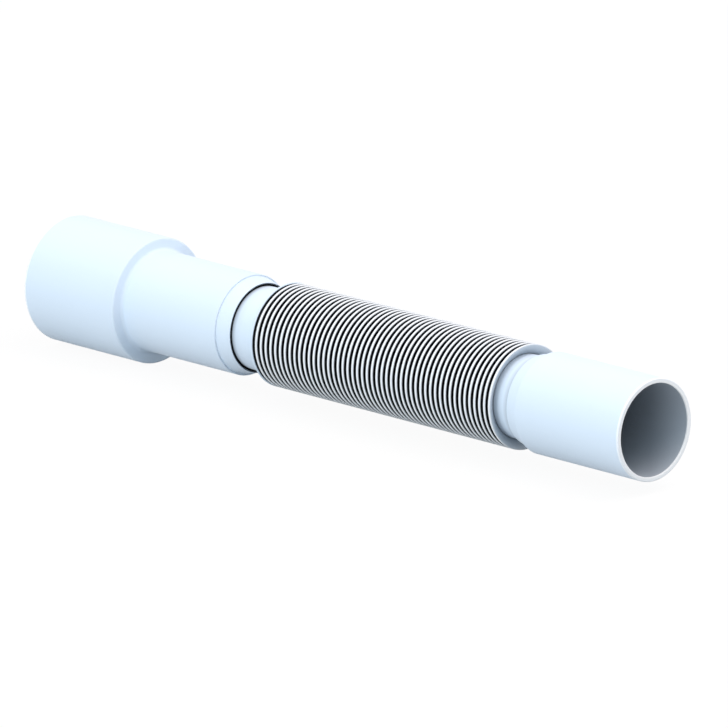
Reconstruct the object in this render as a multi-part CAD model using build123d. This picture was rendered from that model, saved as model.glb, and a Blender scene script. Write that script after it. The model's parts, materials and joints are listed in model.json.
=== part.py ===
from build123d import *
import os

# Flexible drain pipe: a ribbed bellows with a rigid spigot on each end.
# Millimetres. The pipe lies along +X, from the middle of the drain mouth, with +Z up.

# Spigots
drain_od = 50.0         # outside of the spigot that goes into a drain socket
waste_od = 40.0         # outside of the run behind the shoulder and of the plain spigot
spigot_wall = 1.8
drain_length = 49.5     # from the drain mouth to the shoulder's face
step_length = 51.5      # from the shoulder's face to the start of the nose
plain_length = 54.7     # from the start of the nose to the plain mouth
shoulder_round = 0.8    # on the shoulder's outer edge and in its inner corner
mouth_round = 0.4       # on the outer edge of each open mouth

# Nose of a spigot, which steps in, then tapers down to a lip around the bellows' neck
nose_length = 6.2
nose_step = 0.9         # small step down where the nose starts
lip_depth = 7.5         # how far the lip reaches in from the nose's tip
lip_edge = 0.5          # flat ring at the nose's tip
lip_gap = 0.8           # open ring between the lip and the neck

# Collar at each end of the bellows, behind a spigot's lip
collar_length = 3.0
collar_height = 1.4     # how far the collar stands out from the neck
seat_clearance = 0.3    # between the collar and its spigot, all round and at the lip

# Bellows
bellows_wall = 0.8
rib_count = 49
rib_pitch = 2.625       # with the ribs pushed together
rib_depth = 4.1         # from the bottom of a groove to the top of a rib
rib_lean = 2.5          # how far a rib's top stands over towards the plain spigot
long_neck = 13.2        # smooth neck that shows beside the stepped spigot
short_neck = 8.0        # smooth neck that shows beside the plain spigot

# Radii that follow from those sizes
drain_r = drain_od / 2
waste_r = waste_od / 2
drain_bore_r = drain_r - spigot_wall
waste_bore_r = waste_r - spigot_wall
collar_r = waste_bore_r - seat_clearance
neck_r = collar_r - collar_height
neck_bore_r = neck_r - bellows_wall
rib_r = neck_r + rib_depth
lip_r = neck_r + lip_gap
nose_tip_r = lip_r + lip_edge

# Places along the pipe that follow from those sizes
shoulder_x = drain_length
stepped_tip_x = shoulder_x + step_length + nose_length
ribs_start_x = stepped_tip_x + long_neck
ribs_end_x = ribs_start_x + rib_count * rib_pitch
plain_tip_x = ribs_end_x + short_neck
plain_mouth_x = plain_tip_x + nose_length + plain_length


def turned(section, rounds=()):
    """A body turned about the pipe's axis.

    section lists the corners of the half section as (x, radius), and rounds lists (corner, radius of its rounding).
    """
    face = make_face(Polyline(*section, close=True))
    for corner, radius in rounds:
        vertex = face.vertices().sort_by_distance(Vector(*corner))[0]
        face = fillet(vertex, radius)
    return revolve(face, Axis.X)


def nose(tip_x, inward):
    """Corners of a nose, from its outer edge over the lip to the bore behind it. inward is +1 or -1, into the spigot."""
    return [
        (tip_x + inward * nose_length, waste_r),
        (tip_x + inward * nose_length, waste_r - nose_step),
        (tip_x, nose_tip_r),
        (tip_x, lip_r),
        (tip_x + inward * lip_depth, lip_r),
        (tip_x + inward * lip_depth, waste_bore_r),
    ]


def stepped_spigot():
    """The drain spigot, its shoulder and the narrower run, with the nose at its end."""
    shoulder_edge = (shoulder_x, drain_r)
    shoulder_corner = (shoulder_x, waste_r)
    mouth_edge = (0, drain_r)
    section = [
        mouth_edge,
        shoulder_edge,
        shoulder_corner,
        *nose(stepped_tip_x, -1),
        (shoulder_x - spigot_wall, waste_bore_r),
        (shoulder_x - spigot_wall, drain_bore_r),
        (0, drain_bore_r),
    ]
    rounding = min(shoulder_round, 0.4 * (drain_r - waste_r))
    return turned(section, [(mouth_edge, mouth_round), (shoulder_edge, rounding), (shoulder_corner, rounding)])


def plain_spigot():
    """The plain spigot, with the nose at its inner end."""
    mouth_edge = (plain_mouth_x, waste_r)
    section = [
        mouth_edge,
        *nose(plain_tip_x, 1),
        (plain_mouth_x, waste_bore_r),
    ]
    return turned(section, [(mouth_edge, mouth_round)])


def bellows():
    """The ribs, the two smooth necks and the two collars, with one thin wall throughout.

    Pushed together, each rib leans over the next one. The inside is the outside moved half a pitch along the pipe and
    one wall inwards.
    """
    half_pitch = rib_pitch / 2
    half_crest = bellows_wall * (rib_depth - half_pitch) / (rib_depth - bellows_wall)
    wall_lean = rib_lean * bellows_wall / rib_depth
    first_collar_x = stepped_tip_x - lip_depth - seat_clearance
    last_collar_x = plain_tip_x + lip_depth + seat_clearance

    outside = []
    inside = []
    for rib in range(rib_count):
        foot = ribs_start_x + rib * rib_pitch
        crest = foot + half_pitch + rib_lean
        root = foot - wall_lean
        outside += [(foot, neck_r), (crest - half_crest, rib_r), (crest + half_crest, rib_r)]
        inside += [
            (root + half_crest, neck_bore_r),
            (crest - wall_lean, rib_r - bellows_wall),
            (root + rib_pitch - half_crest, neck_bore_r),
        ]

    section = [
        (first_collar_x - collar_length, neck_bore_r),
        (first_collar_x - collar_length, collar_r),
        (first_collar_x, collar_r),
        (first_collar_x, neck_r),
        *outside,
        (ribs_end_x, neck_r),
        (last_collar_x, neck_r),
        (last_collar_x, collar_r),
        (last_collar_x + collar_length, collar_r),
        (last_collar_x + collar_length, neck_bore_r),
        *reversed(inside),
    ]
    return turned(section)


os.makedirs("parts", exist_ok=True)
export_step(stepped_spigot(), "parts/stepped_spigot.step")
export_step(bellows(), "parts/bellows.step")
export_step(plain_spigot(), "parts/plain_spigot.step")
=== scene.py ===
"""Looks of a flexible drain pipe: two smooth spigots and the ribbed bellows that joins them.

Lengths are in metres, in the frame's own axes. The pipe lies along +X from the middle of its drain mouth,
with +Z up.
"""

import json
import logging
import math
from dataclasses import dataclass, replace
from enum import Enum
from typing import Any

import bpy
import numpy as np
from mathutils import Matrix, Vector


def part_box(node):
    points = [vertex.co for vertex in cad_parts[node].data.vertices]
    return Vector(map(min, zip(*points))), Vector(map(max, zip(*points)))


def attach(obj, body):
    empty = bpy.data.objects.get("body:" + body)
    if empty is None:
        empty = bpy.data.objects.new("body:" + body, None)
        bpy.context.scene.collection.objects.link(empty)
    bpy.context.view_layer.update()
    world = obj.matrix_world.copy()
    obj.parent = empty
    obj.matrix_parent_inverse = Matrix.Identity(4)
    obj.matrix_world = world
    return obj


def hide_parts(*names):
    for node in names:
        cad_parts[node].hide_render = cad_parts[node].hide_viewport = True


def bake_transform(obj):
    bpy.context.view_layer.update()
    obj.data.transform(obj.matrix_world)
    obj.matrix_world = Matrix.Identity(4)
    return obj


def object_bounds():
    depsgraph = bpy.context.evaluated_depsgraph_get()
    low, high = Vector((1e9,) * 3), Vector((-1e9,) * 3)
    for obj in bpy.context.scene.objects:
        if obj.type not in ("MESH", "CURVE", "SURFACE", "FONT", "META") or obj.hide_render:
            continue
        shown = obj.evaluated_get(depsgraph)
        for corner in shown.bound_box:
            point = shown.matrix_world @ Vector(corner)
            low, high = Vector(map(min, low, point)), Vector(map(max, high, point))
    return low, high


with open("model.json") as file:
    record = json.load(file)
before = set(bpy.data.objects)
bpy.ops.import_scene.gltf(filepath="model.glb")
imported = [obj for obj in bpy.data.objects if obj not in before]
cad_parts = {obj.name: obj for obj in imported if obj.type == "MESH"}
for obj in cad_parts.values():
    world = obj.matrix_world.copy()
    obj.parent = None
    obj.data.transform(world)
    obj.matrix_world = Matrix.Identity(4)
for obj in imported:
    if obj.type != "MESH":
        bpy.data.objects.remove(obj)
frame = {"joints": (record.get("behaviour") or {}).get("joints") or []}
cad_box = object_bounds()
log = logging.getLogger("flexible_drain_pipe")

MM = 0.001

SEGMENTS = 144              # round a spigot
ARC_STEPS = 6               # rows round a corner
SUPPORT = 0.25 * MM         # how far a row that keeps a flat face flat stands from a rounded corner
SHARP_ANGLE = math.radians(40)
WELD = 0.02 * MM            # how near two seams have to be to become one
COLLAR_TO_TIP = 7.8 * MM    # from a collar to the tip of the nose round it
UNFOLD = "unfold"           # attribute: how far along the pipe a point moves as the ribs open
RIGHTING = 0.5              # share of its lean by which an opened rib leans back
WHITE = (1.0, 1.0, 1.0, 1.0)

Shades = tuple[tuple[float, float], ...]    # pairs of a distance along the pipe and the painted shade there


class Mask(str, Enum):
    """Attributes that a finish reads from a mesh, each from 0 to 1: masks for painted shade and painted
    highlight.
    """

    PAINTED_SHADE = "recess"       # painted shade: how deep a point sits in a gap or bore
    GROOVE_SHADE = "groove"       # painted shade: how far a point lies under the tops of the ribs beside it
    CREST_HIGHLIGHT = "crest"         # painted highlight: how far up a rib or on a mouth's rim a point stands


class Facing(Enum):
    """Which way a nose or a mouth points along the pipe."""

    DRAIN = -1
    PLAIN = 1


@dataclass(frozen=True)
class Corner:
    """One corner of a turned section.

    Attributes:
        along: Place along the pipe.
        radius: Distance from the pipe's axis.
        rounding: Radius of the rounded corner, or 0 for a sharp one.
        recess: Value there of the mask for painted shade in recesses.
        groove: Value there of the mask for painted shade in grooves.
        crest: Value there of the mask for painted highlight on rib tops and rims.
    """

    along: float
    radius: float
    rounding: float = 0.0
    recess: float = 0.0
    groove: float = 0.0
    crest: float = 0.0

    @property
    def point(self) -> np.ndarray:
        """The corner as a point of the half section."""
        return np.array((self.along, self.radius))

    def row(self, point: np.ndarray) -> "Corner":
        """A sharp corner at another point, with this one's masks."""
        return replace(self, along=float(point[0]), radius=float(point[1]), rounding=0.0)


def rounded(section: list[Corner], closed: bool) -> list[Corner]:
    """Turns a section's rounded corners into arcs.

    Args:
        section: Corners in order, with the outside of the wall on the left of the way.
        closed: Whether the last corner joins the first.

    Returns:
        Sharp corners, one for each row of the mesh.
    """
    rows = []
    for i, corner in enumerate(section):
        at_end = not closed and i in (0, len(section) - 1)
        if corner.rounding == 0 or at_end:
            rows.append(corner)
            continue
        before = section[i - 1].point - corner.point
        after = section[(i + 1) % len(section)].point - corner.point
        before /= np.linalg.norm(before)
        after /= np.linalg.norm(after)
        half = math.acos(np.clip(before @ after, -1, 1)) / 2
        reach = corner.rounding / math.tan(half)
        middle = (before + after) / np.linalg.norm(before + after)
        centre = corner.point + middle * corner.rounding / math.sin(half)
        first = corner.point + before * reach - centre
        last = corner.point + after * reach - centre
        turn = math.pi - 2 * half
        rows.append(corner.row(corner.point + before * (reach + SUPPORT)))
        for step in range(ARC_STEPS + 1):
            share = step / ARC_STEPS
            arm = (first * math.sin((1 - share) * turn) + last * math.sin(share * turn)) / math.sin(turn)
            rows.append(corner.row(centre + arm))
        rows.append(corner.row(corner.point + after * (reach + SUPPORT)))
    return rows


def turned(name: str, sections: list[list[Corner]], closed: bool, segments: int) -> bpy.types.Mesh:
    """Turns half sections about the pipe's axis into one mesh.

    Args:
        name: The mesh's name.
        sections: Half sections, each with the outside of the wall on the left of the way.
        closed: Whether each section is a closed loop.
        segments: Number of faces round the pipe.

    Returns:
        A smooth-shaded mesh with the masks as point attributes.
    """
    angles = np.arange(segments) * math.tau / segments
    points, faces, masks = [], [], {mask: [] for mask in Mask}
    for section in sections:
        rows = rounded(section, closed)
        base = len(points)
        for row in rows:
            points += [(row.along, row.radius * math.cos(a), row.radius * math.sin(a)) for a in angles]
            for mask in Mask:
                masks[mask] += [getattr(row, mask.value)] * segments
        for i in range(len(rows) if closed else len(rows) - 1):
            here = base + i * segments
            there = base + (i + 1) % len(rows) * segments
            for j in range(segments):
                k = (j + 1) % segments
                faces.append((here + j, here + k, there + k, there + j))
    mesh = bpy.data.meshes.new(name)
    mesh.from_pydata(points, [], faces)
    for mask, values in masks.items():
        mesh.attributes.new(mask.value, "FLOAT", "POINT").data.foreach_set("value", values)
    mesh.shade_smooth()
    mesh.set_sharp_from_angle(angle=SHARP_ANGLE)
    return mesh


def added(mesh: bpy.types.Mesh) -> bpy.types.Object:
    """Links a mesh into the scene.

    Args:
        mesh: The mesh.

    Returns:
        An object at the origin, under the mesh's own name.
    """
    piece = bpy.data.objects.new(mesh.name, mesh)
    bpy.context.scene.collection.objects.link(piece)
    return piece


def smooth_min(value: float, limit: float, reach: float) -> float:
    """The lesser of two numbers, rounded off where they are within reach, as a Math node does it."""
    near = max(reach - abs(value - limit), 0) / reach
    return min(value, limit) - near**3 * reach / 6


def smooth_step(value: float, start: float, full: float) -> float:
    """A soft rise from 0 at the start to 1 where it is full, as a Map Range node does it."""
    share = min(max((value - start) / (full - start), 0), 1)
    return share * share * (3 - 2 * share)


class Graph:
    """A node tree that is built one node at a time, each linked as it is added."""

    def __init__(self, tree: bpy.types.NodeTree) -> None:
        """Empties the tree and starts on it."""
        self.tree = tree
        tree.nodes.clear()

    def add(self, kind: str, inputs: dict[Any, Any] | None = None, **settings: Any) -> bpy.types.Node:
        """Adds a node.

        Args:
            kind: The node's type.
            inputs: A value or another node's output for each input, by name or place.
            settings: Properties of the node.

        Returns:
            The new node.
        """
        node = self.tree.nodes.new(kind)
        for key, value in settings.items():
            setattr(node, key, value)
        for key, value in (inputs or {}).items():
            if isinstance(value, bpy.types.NodeSocket):
                self.tree.links.new(value, node.inputs[key])
            else:
                node.inputs[key].default_value = value
        return node

    def math(self, operation: str, *values: Any) -> bpy.types.NodeSocket:
        """Adds a Math node and returns its output."""
        return self.add("ShaderNodeMath", dict(enumerate(values)), operation=operation).outputs[0]

    def join(self, *parts: bpy.types.NodeSocket) -> bpy.types.NodeSocket:
        """Adds a Join Geometry node.

        Args:
            parts: The geometries to join.

        Returns:
            The node's output.
        """
        node = self.add("GeometryNodeJoinGeometry")
        for part in parts:
            self.tree.links.new(part, node.inputs[0])
        return node.outputs[0]

    def sockets(self, way: str, kind: str, *names: str) -> None:
        """Adds inputs or outputs of one kind to a node group."""
        for name in names:
            self.tree.interface.new_socket(name, in_out=way, socket_type="NodeSocket" + kind)


class MouldedPlastic:
    """The node group that every moulded surface shares: painted shade in recesses, faint clouds and an even
    skin.

    Attributes:
        NAME: The group's name.
        CLOUD_SCALE: Scale of the clouds along and across the pipe.
        CLOUD_DETAIL: Detail of the clouds.
        CLOUD_ROUGHNESS: How far the roughness wanders with the colour.
        SKIN_SCALE: Scale of the skin's grain.
        SKIN_DETAIL: Detail of the grain.
        SKIN_STRENGTH: Strength of the grain's relief.
        SKIN_HEIGHT: Height of the grain's relief.
    """

    NAME = "moulded_plastic"
    CLOUD_SCALE = (12.0, 60.0, 60.0)
    CLOUD_DETAIL = 3.0
    CLOUD_ROUGHNESS = 1.5
    SKIN_SCALE = 700.0
    SKIN_DETAIL = 2.0
    SKIN_STRENGTH = 0.06
    SKIN_HEIGHT = 0.1 * MM

    @classmethod
    def group(cls) -> bpy.types.NodeTree:
        """The node group, built on its first use."""
        return bpy.data.node_groups.get(cls.NAME) or cls.build()

    @classmethod
    def build(cls) -> bpy.types.NodeTree:
        """Builds the node group.

        Returns:
            A shader group that puts out a colour, a roughness and a normal.
        """
        graph = Graph(bpy.data.node_groups.new(cls.NAME, "ShaderNodeTree"))
        graph.sockets("INPUT", "Color", "Colour", "Recess Colour")
        graph.sockets("INPUT", "Float", "Recess", "Clouds", "Roughness")
        graph.sockets("OUTPUT", "Color", "Colour")
        graph.sockets("OUTPUT", "Float", "Roughness")
        graph.sockets("OUTPUT", "Vector", "Normal")

        given = graph.add("NodeGroupInput").outputs
        place = graph.add("ShaderNodeTexCoord").outputs["Object"]
        drawn = graph.add("ShaderNodeMapping", {"Vector": place, "Scale": cls.CLOUD_SCALE}).outputs[0]
        clouds = graph.add(
            "ShaderNodeTexNoise", {"Vector": drawn, "Scale": 1.0, "Detail": cls.CLOUD_DETAIL}
        ).outputs[0]
        skin = graph.add(
            "ShaderNodeTexNoise", {"Vector": place, "Scale": cls.SKIN_SCALE, "Detail": cls.SKIN_DETAIL}
        ).outputs[0]

        swing = graph.math("MULTIPLY", graph.math("SUBTRACT", clouds, 0.5), given["Clouds"])
        level = graph.math("ADD", swing, 1.0)
        tinted = graph.add(
            "ShaderNodeVectorMath", {0: given["Colour"], 1: level}, operation="MULTIPLY"
        ).outputs[0]
        # painted shade: the colour turns to the shade colour as the mask for shaded recesses rises
        shaded = graph.add(
            "ShaderNodeMix",
            {"Factor": given["Recess"], 6: tinted, 7: given["Recess Colour"]},
            data_type="RGBA",
        ).outputs[2]
        rough_swing = graph.math("MULTIPLY", swing, cls.CLOUD_ROUGHNESS)
        rough = graph.math("ADD", given["Roughness"], rough_swing)
        bumped = graph.add(
            "ShaderNodeBump", {"Strength": cls.SKIN_STRENGTH, "Distance": cls.SKIN_HEIGHT, "Height": skin}
        ).outputs[0]
        graph.add("NodeGroupOutput", {"Colour": shaded, "Roughness": rough, "Normal": bumped})
        return graph.tree


@dataclass(frozen=True)
class PlasticFinish:
    """A moulded plastic, with painted shade in recesses and grooves and a painted highlight on rib tops and
    rims.

    Attributes:
        slot: The record's material slot.
        colour: Colour of an open surface.
        crest_highlight_colour: Colour of the painted highlight at the top of a rib and on a mouth's rim.
        painted_shade_colour: Colour of the painted shade deep in a groove, gap or bore.
        roughness: Roughness of an open surface.
        clouds: How far the colour wanders.
        groove_reach: How near the next rib has to be for a groove to be shut.
        groove_open: Share of open sky over a point in an open groove, which gets no painted shade.
        groove_shut: Share of open sky under which a groove gets the full painted shade.
        groove_samples: Rays that look for open sky from each point.
        ior: The plastic's index of refraction.
        specular: Level of its reflections.
    """

    slot: str
    colour: tuple[float, float, float]
    crest_highlight_colour: tuple[float, float, float]
    painted_shade_colour: tuple[float, float, float]
    roughness: float
    clouds: float
    groove_reach: float = 4.0 * MM
    groove_open: float = 0.50
    groove_shut: float = 0.30
    groove_samples: int = 8
    ior: float = 1.49
    specular: float = 0.2

    def material(self) -> bpy.types.Material:
        """Builds the finish as a material.

        Returns:
            A material that reads the masks of the mesh it is on and paints shade and highlights into its
            colour by them.
        """
        made = bpy.data.materials.new(self.slot)
        made.use_nodes = True
        made.diffuse_color = (*self.colour, 1.0)
        graph = Graph(made.node_tree)
        # masks of painted shade in recesses and grooves and of painted highlight on crests
        recess, groove, crest = (
            graph.add("ShaderNodeAttribute", attribute_name=mask.value).outputs["Fac"] for mask in Mask
        )
        # painted shade in the grooves follows how little open sky reaches a point, so it darkens as the ribs
        # close
        open_sky = graph.add(
            "ShaderNodeAmbientOcclusion",
            {"Distance": self.groove_reach},
            samples=self.groove_samples,
            only_local=True,
        ).outputs["AO"]
        shut = graph.add(
            "ShaderNodeMapRange",
            {"Value": open_sky, "From Min": self.groove_open, "From Max": self.groove_shut},
            interpolation_type="SMOOTHSTEP",
        ).outputs[0]
        # painted shade: the recess mask, or the groove mask where the groove is shut
        shade = graph.math("MAXIMUM", recess, graph.math("MULTIPLY", groove, shut))
        # painted highlight: the colour turns lighter with the crest mask
        open_colour = graph.add(
            "ShaderNodeMix",
            {"Factor": crest, 6: (*self.colour, 1.0), 7: (*self.crest_highlight_colour, 1.0)},
            data_type="RGBA",
        ).outputs[2]
        surface = graph.add(
            "ShaderNodeGroup",
            {
                "Colour": open_colour,
                "Recess Colour": (*self.painted_shade_colour, 1.0),
                "Recess": shade,
                "Clouds": self.clouds,
                "Roughness": self.roughness,
            },
            node_tree=MouldedPlastic.group(),
        ).outputs
        shader = graph.add(
            "ShaderNodeBsdfPrincipled",
            {
                "Base Color": surface["Colour"],
                "Roughness": surface["Roughness"],
                "Normal": surface["Normal"],
                "IOR": self.ior,
                "Specular IOR Level": self.specular,
            },
        )
        graph.add("ShaderNodeOutputMaterial", {"Surface": shader.outputs[0]})
        return made


SPIGOT_FINISH = PlasticFinish(
    slot="spigot_plastic",
    colour=(0.70, 0.82, 0.94),
    # the next two are the painted highlight on the mouths' rims and the painted shade in bores and gaps
    crest_highlight_colour=(0.93, 0.98, 1.0),
    painted_shade_colour=(0.10, 0.11, 0.12),
    roughness=0.5,
    clouds=0.03,
)
BELLOWS_FINISH = PlasticFinish(
    slot="bellows_plastic",
    colour=(0.70, 0.82, 0.94),
    # the next two are the painted highlight on the ribs' tops and the near-black painted shade in grooves,
    # gaps and the bore
    crest_highlight_colour=(0.88, 0.92, 0.95),
    painted_shade_colour=(0.006, 0.007, 0.009),
    roughness=0.5,
    clouds=0.03,
)


@dataclass
class Spigot:
    """What the two rigid spigots share.

    Attributes:
        name: The piece's name.
        node: The CAD node that it stands for.
        body: The CAD body that it moves with.
        wall: Wall thickness.
        nose_length: Length of the nose.
        nose_step: Height of the step where the nose starts.
        lip_radius: Radius of the hole in the lip.
        lip_edge: Width of the flat ring at the nose's tip.
        lip_depth: How far the lip reaches in from the nose's tip.
        lip_shade: Painted shade on the edge of the lip's hole.
        dark_depth: How far into the lip's hole the painted shade becomes full.
        edge: Rounding of the small edges.
        tip_edge: Rounding of the nose's tip.
        hole_edge: Rounding of the lip's hole.
        mouth_round: Rounding of the mouth's outer edge.
        rim_reach: How far along the outside the painted highlight on the mouth's rim fades out.
        rim_highlight: Painted highlight on the mouth's outer edge, as a value of the crest mask.
        bore_shades: Painted shade in the bore, by the distance from the mouth.
    """

    name: str
    node: str
    body: str
    wall: float = 1.8 * MM
    nose_length: float = 6.2 * MM
    nose_step: float = 0.9 * MM
    lip_radius: float = 17.3 * MM
    lip_edge: float = 0.5 * MM
    lip_depth: float = 7.5 * MM
    lip_shade: float = 0.6
    dark_depth: float = 1.0 * MM
    edge: float = 0.25 * MM
    tip_edge: float = 0.15 * MM
    hole_edge: float = 0.10 * MM
    mouth_round: float = 0.4 * MM
    rim_reach: float = 1.0 * MM
    rim_highlight: float = 0.8
    bore_shades: Shades = ()

    def __post_init__(self) -> None:
        """Reads the spigot's ends from its CAD node."""
        low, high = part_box(self.node)
        self.start, self.end = low.x, high.x

    def nose(self, tip: float, facing: Facing, outside: float) -> list[Corner]:
        """Corners of a nose, from its outer edge over the lip to the bore behind it.

        Args:
            tip: Place of the nose's tip along the pipe.
            facing: Which way the nose points.
            outside: Radius of the spigot behind the nose.

        Returns:
            The corners, in order from the outside inwards.
        """
        start = tip - facing.value * self.nose_length
        back = tip - facing.value * self.lip_depth
        return [
            Corner(start, outside, self.edge),
            Corner(start, outside - self.nose_step, self.edge),
            Corner(tip, self.lip_radius + self.lip_edge, self.tip_edge),
            # painted shade on the lip's hole, full inside it and behind the lip
            Corner(tip, self.lip_radius, self.hole_edge, recess=self.lip_shade),
            Corner(tip - facing.value * self.dark_depth, self.lip_radius, recess=1.0),
            Corner(back, self.lip_radius, recess=1.0),
            Corner(back, outside - self.wall, recess=1.0),
        ]

    def mouth(self, end: float, facing: Facing, outside: float) -> list[Corner]:
        """Corners of an open mouth, from the outside over its rim, with its painted highlight, into the bore,
        with its painted shade.

        Args:
            end: Place of the mouth along the pipe.
            facing: Which way the mouth points.
            outside: Radius of the spigot behind the mouth.

        Returns:
            The corners, in order from the outside inwards.
        """
        bore = outside - self.wall
        return [
            Corner(end - facing.value * self.rim_reach, outside),
            # painted highlight on the rim's outer and inner edges
            Corner(end, outside, self.mouth_round, crest=self.rim_highlight),
            Corner(end, bore, self.edge, crest=1.0),
            *(Corner(end - facing.value * depth, bore, recess=recess) for depth, recess in self.bore_shades),
        ]

    def section(self) -> list[Corner]:
        """The spigot's half section."""
        raise NotImplementedError

    def build(self, finish: PlasticFinish, material: bpy.types.Material) -> bpy.types.Object:
        """Builds and dresses the spigot.

        Args:
            finish: The spigot's finish; not used.
            material: The material that the finish made.

        Returns:
            The finished piece.
        """
        mesh = turned(self.name, [self.section()], True, SEGMENTS)
        mesh.materials.append(material)
        piece = added(mesh)
        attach(piece, self.body)
        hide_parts(self.node)
        return piece


@dataclass
class SteppedSpigot(Spigot):
    """The drain spigot, its shoulder and the narrower run behind it.

    Attributes:
        shoulder: Place of the shoulder's face along the pipe.
        drain_radius: Outside radius of the drain spigot.
        waste_radius: Outside radius of the narrower run.
        shoulder_round: Rounding of the shoulder's edge.
        corner_round: Rounding of the shoulder's inner corner.
        step_shade: Painted shade on the outer edge of the step in the bore.
        run_shade: Painted shade on the inner edge of that step.
    """

    shoulder: float = 49.5 * MM
    drain_radius: float = 25.0 * MM
    waste_radius: float = 20.0 * MM
    shoulder_round: float = 0.8 * MM
    corner_round: float = 1.4 * MM
    step_shade: float = 0.85
    run_shade: float = 0.9
    bore_shades: Shades = ((0.8 * MM, 0.50), (19.8 * MM, 0.58))

    def section(self) -> list[Corner]:
        """Draws the spigot's half section.

        Returns:
            The corners, from the shoulder to the nose and back along the bore to the mouth.
        """
        step = self.shoulder - self.wall
        return [
            Corner(self.shoulder, self.drain_radius, self.shoulder_round),
            Corner(self.shoulder, self.waste_radius, self.corner_round),
            *self.nose(self.end, Facing.PLAIN, self.waste_radius),
            Corner(step, self.waste_radius - self.wall, self.edge, recess=self.run_shade),
            Corner(step, self.drain_radius - self.wall, self.edge, recess=self.step_shade),
            *reversed(self.mouth(self.start, Facing.DRAIN, self.drain_radius)),
        ]


@dataclass
class PlainSpigot(Spigot):
    """The plain spigot at the far end.

    Attributes:
        radius: Outside radius.
    """

    radius: float = 20.0 * MM
    bore_shades: Shades = ((0.8 * MM, 0.50), (18.27 * MM, 0.55), (36.54 * MM, 0.70))

    def section(self) -> list[Corner]:
        """Draws the spigot's half section.

        Returns:
            The corners, from the nose along the outside to the mouth and back along the bore.
        """
        return [
            *reversed(self.nose(self.start, Facing.DRAIN, self.radius)),
            *self.mouth(self.end, Facing.PLAIN, self.radius),
        ]


def even_travel(share: np.ndarray, ease: float) -> np.ndarray:
    """Shares a joint's travel out evenly along a row of ribs, apart from an eased run at each end.

    Args:
        share: Places along the row, from 0 to 1.
        ease: Length of the eased run, as a share of the row.

    Returns:
        The share of the travel at each place.
    """
    near = np.minimum(share, 1 - share)
    travel = np.where(near < ease, near**2 / (2 * ease), near - ease / 2) / (1 - ease)
    return np.where(share < 0.5, travel, 1 - travel)


def blend_place(travel: np.ndarray) -> np.ndarray:
    """The places, from 0 to 1, where a blend that eases as 3 t^2 - 2 t^3 gives these shares of its travel."""
    return 0.5 - np.sin(np.arcsin(1 - 2 * travel) / 3)


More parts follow.
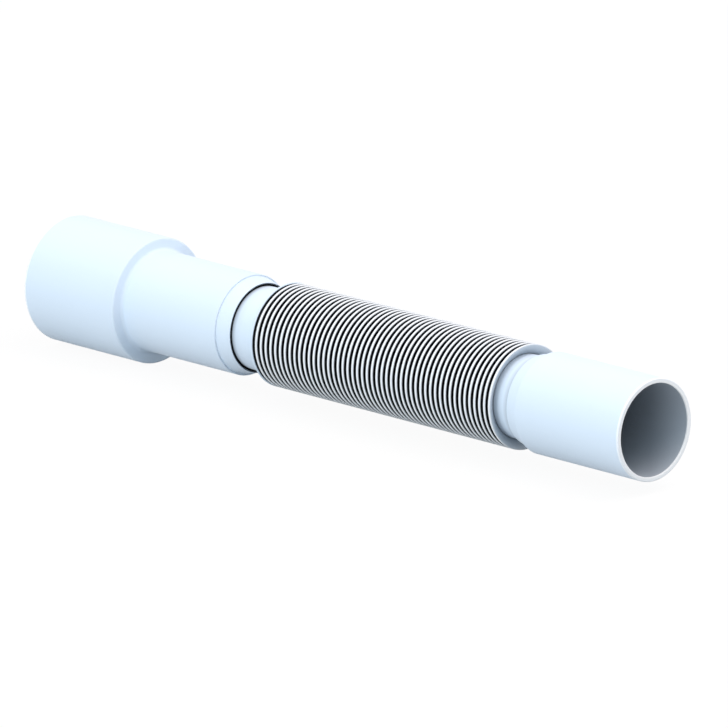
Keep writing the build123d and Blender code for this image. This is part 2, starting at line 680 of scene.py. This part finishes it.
@dataclass
class Bellows:
    """The ribbed bellows, with a smooth neck and a collar at each end.

    Attributes:
        name: The piece's name.
        node: The CAD node that it stands for.
        wall: Wall thickness.
        ribs: Number of ribs.
        pitch: Distance from one rib to the next.
        depth: Height of a rib over the groove beside it.
        lean: How far a rib's top stands over towards the plain spigot.
        neck_radius: Outside radius of both necks.
        collar_length: Length of a collar.
        collar_height: How far a collar stands out from its neck.
        ridge_foot: How far before the first rib the ridge that leads up to it starts.
        ridge_rows: First and last row of a rib that make up that ridge.
        first_row: Row of the first rib that follows the ridge.
        last_row: Row of the last rib where its end face starts.
        end_foot: How far before the end of the ribs the foot of that face stands.
        end_low: Share of the way from the face's edge to its foot where its painted shade deepens.
        end_highlight: Painted highlight on the face's edge, as a value of the crest mask.
        end_shades: Painted shade on the face's edge and where it deepens.
        foot_shades: Painted shade on the short neck, by the distance from that foot.
        long_shades: Painted shade on the long neck, by the distance from the tip of the nose round it.
        short_shades: Painted shade on the short neck, by the distance from the tip of the nose round it.
        edge: Rounding of the collars' edges.
        crest_round: How softly a rib's top is rounded, as a share of its height.
        shade_start: Height on a rib, as a share, where the painted shade of the groove starts.
        shade_full: Height on a rib, as a share, under which the groove gets the full painted shade.
        segments: Number of faces round the pipe.
        outer_rows: Rows of faces on the outside of one rib.
        inner_rows: Rows of faces on the inside of one rib.
        end_ease: Share of the ribs' length at each end over which they open less than the others.
    """

    name: str = "ribbed_bellows"
    node: str = "bellows"
    wall: float = 0.8 * MM
    ribs: int = 49
    pitch: float = 2.625 * MM
    depth: float = 4.1 * MM
    lean: float = 2.7 * MM
    neck_radius: float = 16.5 * MM
    collar_length: float = 3.0 * MM
    collar_height: float = 1.4 * MM
    ridge_foot: float = 0.4 * MM
    ridge_rows: tuple[int, int] = (5, 14)
    first_row: int = 2
    last_row: int = 12
    end_foot: float = 0.4 * MM
    end_low: float = 0.85
    end_highlight: float = 0.5
    end_shades: tuple[float, float] = (0.15, 0.4)
    foot_shades: Shades = ((0.0, 0.72), (0.3 * MM, 0.36), (1.8 * MM, 0.33), (3.0 * MM, 0.1), (5.0 * MM, 0.0))
    long_shades: Shades = ((-0.3 * MM, 1.0), (0.3 * MM, 0.35), (2.0 * MM, 0.05), (5.0 * MM, 0.0))
    short_shades: Shades = ((-0.3 * MM, 0.35), (0.3 * MM, 1.0))
    edge: float = 0.25 * MM
    crest_round: float = 0.9
    shade_start: float = 0.968
    shade_full: float = 0.90
    segments: int = 72
    outer_rows: int = 16
    inner_rows: int = 8
    end_ease: float = 0.12

    def __post_init__(self) -> None:
        """Works out the bellows' places and radii from its CAD node and its joint."""
        low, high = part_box(self.node)
        self.start, self.end = low.x, high.x
        self.joint = frame["joints"][0]
        self.ribs_start = self.joint["deforming_nodes"][0]["fixed_end_x_m"]
        self.ribs_end = self.ribs_start + self.ribs * self.pitch
        self.half_pitch = self.pitch / 2
        self.half_crest = self.wall * (self.depth - self.half_pitch) / (self.depth - self.wall)
        self.bore_radius = self.neck_radius - self.wall
        self.root_shift = self.lean * self.wall / self.depth

    def outer_rib(self, foot: float, first_row: int, last_row: int) -> list[Corner]:
        """Corners of a stretch of the outside of one rib, in the order of +X, as the node tree bends it.

        Args:
            foot: Place along the pipe where the rib's outside starts.
            first_row: First row of the stretch, counted from the groove before the rib.
            last_row: Last row of the stretch.

        Returns:
            One corner for each row.
        """
        corners = []
        for row in range(first_row, last_row + 1):
            along = self.pitch * row / self.outer_rows
            climb = (self.half_pitch - abs(along - self.half_pitch)) / (self.half_pitch - self.half_crest)
            up = smooth_min(climb, 1.0, self.crest_round)
            # painted shade down into the groove, and painted highlight up towards the rib's top
            shade = smooth_step(up, self.shade_start, self.shade_full)
            place = foot + along + self.lean * up
            corners.append(Corner(place, self.neck_radius + self.depth * up, groove=shade, crest=up))
        return corners

    def inner_rib(self, foot: float) -> list[Corner]:
        """Corners of the inside of one rib, in the order of +X.

        Args:
            foot: Place along the pipe where the rib's outside starts.

        Returns:
            The corners, from the seam before the rib to the seam after it.
        """
        root = foot - self.root_shift
        crest = root + self.half_pitch + self.lean
        bore = self.bore_radius
        points = [
            (root, bore),
            (root + self.half_crest, bore),
            (crest, bore + self.depth),
            (root + self.pitch - self.half_crest, bore),
            (root + self.pitch, bore),
        ]
        # the inside of a rib carries the full painted shade
        return [Corner(along, radius, recess=1.0) for along, radius in points]

    def neck(self, start: float, shades: Shades) -> list[Corner]:
        """Corners along a neck, one for each painted shade value, at its distance from a start."""
        return [Corner(start + distance, self.neck_radius, recess=recess) for distance, recess in shades]

    def collar(self, end: float, back: float) -> list[Corner]:
        """Corners of a collar, from the bore over the collar's top to the neck.

        Args:
            end: Place of the bellows' end along the pipe.
            back: Place of the collar's other side.

        Returns:
            The corners, in order from the bore.
        """
        top = self.neck_radius + self.collar_height
        # the whole collar carries the full painted shade
        return [
            Corner(end, self.bore_radius, recess=1.0),
            Corner(end, top, self.edge, recess=1.0),
            Corner(back, top, self.edge, recess=1.0),
            Corner(back, self.neck_radius, recess=1.0),
        ]

    def drain_end(self) -> list[Corner]:
        """Draws the open half section of the long neck and the first rib.

        A ridge stands before the first rib, as high as the ribs but solid, with a shallow groove behind it
        and the neck's own colour, without the painted highlight of the ribs' tops.

        Returns:
            The corners, from the inner seam to the outer one.
        """
        collar_back = self.start + self.collar_length
        ridge = self.outer_rib(self.ribs_start - self.pitch, *self.ridge_rows)
        return [
            *reversed(self.inner_rib(self.ribs_start)[1:]),
            *self.collar(self.start, collar_back),
            *self.neck(collar_back + COLLAR_TO_TIP, self.long_shades),
            Corner(self.ribs_start - self.ridge_foot, self.neck_radius),
            # the ridge keeps the painted shade of its groove but not the painted highlight
            *(replace(row, crest=0.0) for row in ridge),
            *self.outer_rib(self.ribs_start, self.first_row, self.outer_rows),
        ]

    def plain_end(self) -> list[Corner]:
        """Draws the open half section of the last rib and the short neck.

        Returns:
            The corners, from the outer seam to the inner one.
        """
        foot = self.ribs_end - self.pitch
        collar_back = self.end - self.collar_length
        edge_shade, low_shade = self.end_shades
        *rib, last = self.outer_rib(foot, 0, self.last_row)
        # the end face's edge gets light painted shade and half the painted highlight
        edge = replace(last, recess=edge_shade, groove=0.0, crest=self.end_highlight)
        # painted shade deepens down the end face to its foot
        face_foot = Corner(self.ribs_end - self.end_foot, self.neck_radius, recess=low_shade)
        low = (1 - self.end_low) * edge.point + self.end_low * face_foot.point
        return [
            *rib,
            edge,
            face_foot.row(low),
            *self.neck(face_foot.along, self.foot_shades),
            *self.neck(collar_back - COLLAR_TO_TIP, self.short_shades),
            *reversed(self.collar(self.end, collar_back)),
            *reversed(self.inner_rib(foot)[:-1]),
        ]

    def rib_tree(self) -> bpy.types.NodeTree:
        """Builds the node tree that sets a row of ribs between the two ends.

        Returns:
            A geometry node group with named inputs for the ribs' sizes.
        """
        graph = Graph(bpy.data.node_groups.new("bellows_ribs", "GeometryNodeTree"))
        sizes = ("Start", "Pitch", "Depth", "Lean", "Half Crest", "Neck Radius", "Wall")
        graph.sockets("INPUT", "Geometry", "Ends")
        graph.sockets("INPUT", "Int", "Ribs", "Segments", "Outer Rows", "Inner Rows")
        graph.sockets("INPUT", "Float", *sizes, "Crest Round", "Shade Start", "Shade Full")
        graph.sockets("INPUT", "Material", "Material")
        graph.sockets("OUTPUT", "Geometry", "Bellows")
        given = graph.add("NodeGroupInput").outputs

        place = graph.add("GeometryNodeInputPosition").outputs[0]
        half_pitch = graph.math("MULTIPLY", given["Pitch"], 0.5)
        flank = graph.math("SUBTRACT", half_pitch, given["Half Crest"])
        height = graph.add("ShaderNodeSeparateXYZ", {0: place}).outputs["Z"]
        along = graph.math("MULTIPLY", graph.math("ADD", height, 0.5), given["Pitch"])
        aside = graph.math("ABSOLUTE", graph.math("SUBTRACT", along, half_pitch))

        climb = graph.math("DIVIDE", graph.math("SUBTRACT", half_pitch, aside), flank)
        outer_up = graph.math("SMOOTH_MIN", climb, 1.0, given["Crest Round"])
        # painted shade of the groove, from the height on the rib
        shade = graph.add(
            "ShaderNodeMapRange",
            {"Value": outer_up, "From Min": given["Shade Start"], "From Max": given["Shade Full"]},
            interpolation_type="SMOOTHSTEP",
        ).outputs[0]
        # painted highlight up the rib and painted shade in the groove
        masks = {Mask.CREST_HIGHLIGHT: outer_up, Mask.PAINTED_SHADE: 0.0, Mask.GROOVE_SHADE: shade}
        rows, neck = given["Outer Rows"], given["Neck Radius"]
        outside = self.rib_wall(graph, given, rows, neck, outer_up, along, masks)

        inner_climb = graph.math("DIVIDE", graph.math("SUBTRACT", flank, aside), flank)
        inner_up = graph.math("MAXIMUM", inner_climb, 0.0)
        bore = graph.math("SUBTRACT", neck, given["Wall"])
        # the inside of the rib carries the full painted shade
        masks = {Mask.CREST_HIGHLIGHT: inner_up, Mask.PAINTED_SHADE: 1.0, Mask.GROOVE_SHADE: 0.0}
        inside = self.rib_wall(graph, given, given["Inner Rows"], bore, inner_up, along, masks)
        inside = graph.add("GeometryNodeFlipFaces", {"Mesh": inside}).outputs[0]

        rib = graph.join(outside, inside)
        first_foot = graph.add("ShaderNodeCombineXYZ", {0: given["Start"]}).outputs[0]
        step = graph.add("ShaderNodeCombineXYZ", {0: given["Pitch"]}).outputs[0]
        feet = graph.add(
            "GeometryNodeMeshLine", {"Count": given["Ribs"], "Start Location": first_foot, "Offset": step}
        ).outputs[0]
        row = graph.add("GeometryNodeInstanceOnPoints", {"Points": feet, "Instance": rib}).outputs[0]
        real = graph.add("GeometryNodeRealizeInstances", {"Geometry": row}).outputs[0]

        faces = graph.add("GeometryNodeInputMeshEdgeNeighbors").outputs[0]
        seam = graph.add(
            "FunctionNodeCompare", {2: faces, 3: 1}, data_type="INT", operation="EQUAL"
        ).outputs[0]
        closed = graph.add(
            "GeometryNodeMergeByDistance",
            {"Geometry": graph.join(real, given["Ends"]), "Selection": seam, "Distance": WELD},
        ).outputs[0]
        smooth = graph.add(
            "GeometryNodeSetShadeSmooth", {"Geometry": closed, "Shade Smooth": True}
        ).outputs[0]
        dressed = graph.add(
            "GeometryNodeSetMaterial", {"Geometry": smooth, "Material": given["Material"]}
        ).outputs[0]
        graph.add("NodeGroupOutput", {"Bellows": dressed})
        return graph.tree

    def rib_wall(
        self,
        graph: Graph,
        given: bpy.types.NodeOutputs,
        rows: bpy.types.NodeSocket,
        foot: bpy.types.NodeSocket,
        up: bpy.types.NodeSocket,
        along: bpy.types.NodeSocket,
        masks: dict[Mask, Any],
    ) -> bpy.types.NodeSocket:
        """Adds the nodes that bend a plain ring of faces into the outer or inner wall of one rib.

        Args:
            graph: The tree that gets the nodes.
            given: The tree's inputs.
            rows: Rows of faces from one groove to the next.
            foot: Radius of the wall at the rib's foot.
            up: Height on the rib, as a share of its depth.
            along: Place along the upright rib.
            masks: The value or the field of each mask of painted shade and highlight.

        Returns:
            The wall's geometry.
        """
        ring = graph.add(
            "GeometryNodeMeshCylinder",
            {"Vertices": given["Segments"], "Side Segments": rows, "Radius": 1.0, "Depth": 1.0},
            fill_type="NONE",
        ).outputs[0]
        spoke = graph.add(
            "ShaderNodeSeparateXYZ", {0: graph.add("GeometryNodeInputPosition").outputs[0]}
        ).outputs
        radius = graph.math("ADD", foot, graph.math("MULTIPLY", given["Depth"], up))
        over = graph.math("DIVIDE", graph.math("SUBTRACT", radius, given["Neck Radius"]), given["Depth"])
        leant = graph.math("ADD", along, graph.math("MULTIPLY", given["Lean"], over))
        across = graph.math("MULTIPLY", radius, spoke["X"])
        upward = graph.math("MULTIPLY", radius, spoke["Y"])
        point = graph.add("ShaderNodeCombineXYZ", {0: leant, 1: across, 2: upward}).outputs[0]

        half_pitch = graph.math("MULTIPLY", given["Pitch"], 0.5)
        side = graph.math("SIGN", graph.math("SUBTRACT", along, half_pitch))
        reach = graph.math("MULTIPLY", graph.math("SUBTRACT", 1.0, up), half_pitch)
        zigzag = graph.math("ADD", half_pitch, graph.math("MULTIPLY", side, reach))
        righted = graph.math("MULTIPLY", graph.math("MULTIPLY", given["Lean"], up), RIGHTING)
        unfold = graph.math("SUBTRACT", graph.math("SUBTRACT", zigzag, righted), leant)

        wall = ring
        fields = {UNFOLD: unfold} | {mask.value: value for mask, value in masks.items()}
        for name, value in fields.items():
            wall = graph.add(
                "GeometryNodeStoreNamedAttribute",
                {"Geometry": wall, "Name": name, "Value": value},
                data_type="FLOAT",
                domain="POINT",
            ).outputs[0]
        return graph.add("GeometryNodeSetPosition", {"Geometry": wall, "Position": point}).outputs[0]

    def build(self, finish: PlasticFinish, material: bpy.types.Material) -> bpy.types.Object:
        """Builds and dresses the bellows.

        Args:
            finish: The bellows' finish; not used.
            material: The material that the finish made.

        Returns:
            The finished piece.
        """
        ends = turned(self.name + "_ends", [self.drain_end(), self.plain_end()], False, self.segments)
        maker = added(ends)
        ribs = maker.modifiers.new("ribs", "NODES")
        ribs.node_group = self.rib_tree()
        values = {
            "Ribs": self.ribs - 2,
            "Segments": self.segments,
            "Outer Rows": self.outer_rows,
            "Inner Rows": self.inner_rows,
            "Start": self.ribs_start + self.pitch,
            "Pitch": self.pitch,
            "Depth": self.depth,
            "Lean": self.lean,
            "Half Crest": self.half_crest,
            "Neck Radius": self.neck_radius,
            "Wall": self.wall,
            "Crest Round": self.crest_round,
            "Shade Start": self.shade_start,
            "Shade Full": self.shade_full,
            "Material": material,
        }
        for socket in ribs.node_group.interface.items_tree:
            if socket.name in values:
                ribs[socket.identifier] = values[socket.name]
        mesh = bpy.data.meshes.new_from_object(maker.evaluated_get(bpy.context.evaluated_depsgraph_get()))
        mesh.name = self.name
        bpy.data.objects.remove(maker)
        mesh.set_sharp_from_angle(angle=SHARP_ANGLE)
        piece = added(mesh)
        self.stretch(piece)
        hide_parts(self.node)
        return piece

    def stretch(self, piece: bpy.types.Object) -> None:
        """Sets an opened form of the ribs on the mesh, takes it off again and drops the unfold attribute.

        The opened form is a zigzag of the same ribs, in which only the flanks open, a
        rib's top keeps its width, and the ribs stand up as they are pulled apart. The zigzag is drawn out so
        that all ribs open alike, apart from a few at each end. The mesh itself stays as it was.

        Args:
            piece: The bellows.
        """
        mesh = piece.data
        count = len(mesh.vertices)
        points = np.empty(count * 3, np.float32)
        unfold = np.empty(count, np.float32)
        mesh.vertices.foreach_get("co", points)
        mesh.attributes[UNFOLD].data.foreach_get("value", unfold)
        length = self.ribs_end - self.ribs_start
        share = np.clip((points[0::3] + unfold - self.ribs_start) / length, 0, 1)
        opened = points.copy()
        opened[0::3] = self.ribs_start + length * blend_place(even_travel(share, self.end_ease))
        mesh.vertices.foreach_set("co", opened)
        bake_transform(piece)
        mesh.vertices.foreach_set("co", points)
        mesh.attributes.remove(mesh.attributes[UNFOLD])
        mesh.update()


@dataclass(frozen=True)
class SoftLamp:
    """A large soft lamp that faces the middle of the pipe.

    Attributes:
        name: The lamp's name.
        direction: Where the lamp stands, seen from the pipe.
        distance: How far away it stands.
        width: Width of its face.
        height: Height of its face.
        power: Power in watts.
        colour: Colour of its light.
    """

    name: str
    direction: tuple[float, float, float]
    distance: float
    width: float
    height: float
    power: float
    colour: tuple[float, float, float]

    def build(self, target: Vector) -> None:
        """Puts the lamp in the scene.

        Args:
            target: The point that the lamp faces.
        """
        data = bpy.data.lights.new(self.name, "AREA")
        data.shape = "RECTANGLE"
        data.size = self.width
        data.size_y = self.height
        data.energy = self.power
        data.color = self.colour
        lamp = bpy.data.objects.new(self.name, data)
        way = Vector(self.direction).normalized()
        turn = way.to_track_quat("Z", "Y").to_matrix().to_4x4()
        lamp.matrix_world = Matrix.Translation(target + way * self.distance) @ turn
        bpy.context.scene.collection.objects.link(lamp)


@dataclass(frozen=True)
class Studio:
    """The camera, the white floor and the soft light round the pipe.

    Attributes:
        aim: The point in the middle of the picture.
        azimuth: The camera's turn round the pipe, in degrees.
        elevation: The camera's height over the horizon, in degrees.
        distance: The camera's distance from the aim.
        lens: The camera's focal length in millimetres, on a sensor 36 mm wide.
        floor_size: Side of the square floor.
        floor_shadow: How much of the shadow on the floor the camera sees.
        floor_colour: The floor's colour as it lights the pipe.
        sky_colour: Colour of the light from all round.
        sky_strength: Strength of that light.
        lamps: The lamps.
    """

    aim: tuple[float, float, float]
    azimuth: float
    elevation: float
    distance: float
    lens: float
    floor_size: float
    floor_shadow: float
    floor_colour: tuple[float, float, float]
    sky_colour: tuple[float, float, float]
    sky_strength: float
    lamps: tuple[SoftLamp, ...]

    def build(self) -> None:
        """Builds the whole studio."""
        self.camera()
        self.floor()
        self.sky()
        low, high = cad_box
        for lamp in self.lamps:
            lamp.build((low + high) / 2)
        bpy.context.scene.view_settings.view_transform = "Standard"

    def camera(self) -> None:
        """Sets up the camera at the photograph's viewing angle."""
        turn, rise = math.radians(self.azimuth), math.radians(self.elevation)
        back = Vector((math.sin(turn) * math.cos(rise), -math.cos(turn) * math.cos(rise), math.sin(rise)))
        data = bpy.data.cameras.new("camera")
        data.lens = self.lens
        data.clip_end = 4 * self.distance
        camera = bpy.data.objects.new("camera", data)
        facing = back.to_track_quat("Z", "Y").to_matrix().to_4x4()
        camera.matrix_world = Matrix.Translation(Vector(self.aim) + back * self.distance) @ facing
        bpy.context.scene.collection.objects.link(camera)
        bpy.context.scene.camera = camera

    def floor(self) -> None:
        """Lays a white floor under the pipe, which shows the camera a faint shadow."""
        low, high = cad_box
        middle = (low + high) / 2
        reach = self.floor_size / 2
        corners = [(-reach, -reach), (reach, -reach), (reach, reach), (-reach, reach)]
        mesh = bpy.data.meshes.new("floor")
        mesh.from_pydata([(middle.x + x, middle.y + y, low.z) for x, y in corners], [], [(0, 1, 2, 3)])
        mesh.materials.append(self.floor_material())
        added(mesh)

    def floor_material(self) -> bpy.types.Material:
        """Builds the floor's material.

        Returns:
            A material that is white to the camera and to reflections.
        """
        made = bpy.data.materials.new("floor_white")
        made.use_nodes = True
        graph = Graph(made.node_tree)
        seen = seen_directly(graph)
        glow = graph.add("ShaderNodeEmission", {"Color": WHITE, "Strength": 1.0}).outputs[0]
        lit = graph.add("ShaderNodeBsdfDiffuse", {"Color": WHITE}).outputs[0]
        bounce = graph.add("ShaderNodeBsdfDiffuse", {"Color": (*self.floor_colour, 1.0)}).outputs[0]
        shown = graph.add("ShaderNodeMixShader", {0: self.floor_shadow, 1: glow, 2: lit}).outputs[0]
        surface = graph.add("ShaderNodeMixShader", {0: seen, 1: bounce, 2: shown}).outputs[0]
        graph.add("ShaderNodeOutputMaterial", {"Surface": surface})
        return made

    def sky(self) -> None:
        """Sets the light from all round, white where the camera sees it."""
        world = bpy.data.worlds.new("studio")
        world.use_nodes = True
        graph = Graph(world.node_tree)
        light = graph.add(
            "ShaderNodeBackground", {"Color": (*self.sky_colour, 1.0), "Strength": self.sky_strength}
        ).outputs[0]
        white = graph.add("ShaderNodeBackground", {"Color": WHITE, "Strength": 1.0}).outputs[0]
        surface = graph.add("ShaderNodeMixShader", {0: seen_directly(graph), 1: light, 2: white}).outputs[0]
        graph.add("ShaderNodeOutputWorld", {"Surface": surface})
        bpy.context.scene.world = world


def seen_directly(graph: Graph) -> bpy.types.NodeSocket:
    """Adds the test for rays that show the backdrop: the camera's own, reflected and refracted ones.

    Args:
        graph: The tree that gets the nodes.

    Returns:
        An output that is 1 for such rays and 0 for others.
    """
    rays = graph.add("ShaderNodeLightPath").outputs
    mirrored = graph.math("MAXIMUM", rays["Is Glossy Ray"], rays["Is Transmission Ray"])
    return graph.math("MAXIMUM", rays["Is Camera Ray"], mirrored)


STUDIO = Studio(
    aim=(0.23586, -0.07294, 0.0241),
    azimuth=45.05,
    elevation=15.15,
    distance=5.5776,
    lens=731.3,
    floor_size=60.0,
    floor_shadow=0.06,
    floor_colour=(0.37, 0.37, 0.37),
    sky_colour=(0.90, 0.95, 1.0),
    sky_strength=0.91,
    lamps=(
        SoftLamp("top_lamp", (0.35, 0.25, 1.0), 1.6, 1.4, 1.4, 15.6, (1.0, 0.80, 0.72)),
        SoftLamp("front_lamp", (0.05, -1.0, 0.03), 2.2, 2.4, 0.3, 26.5, (0.92, 0.97, 1.0)),
    ),
)


def main() -> None:
    """Builds the pipe and its studio."""
    STUDIO.build()
    spigot_plastic = SPIGOT_FINISH.material()
    bellows_plastic = BELLOWS_FINISH.material()
    stepped = SteppedSpigot("drain_spigot_shell", "stepped_spigot", "stepped_end")
    plain = PlainSpigot("plain_spigot_shell", "plain_spigot", "plain_end")
    pieces = [
        stepped.build(SPIGOT_FINISH, spigot_plastic),
        plain.build(SPIGOT_FINISH, spigot_plastic),
        Bellows().build(BELLOWS_FINISH, bellows_plastic),
    ]
    for piece in pieces:
        log.info("%s: %d faces", piece.name, len(piece.data.polygons))


if __name__ == "__main__":
    logging.basicConfig(level=logging.INFO)
    main()
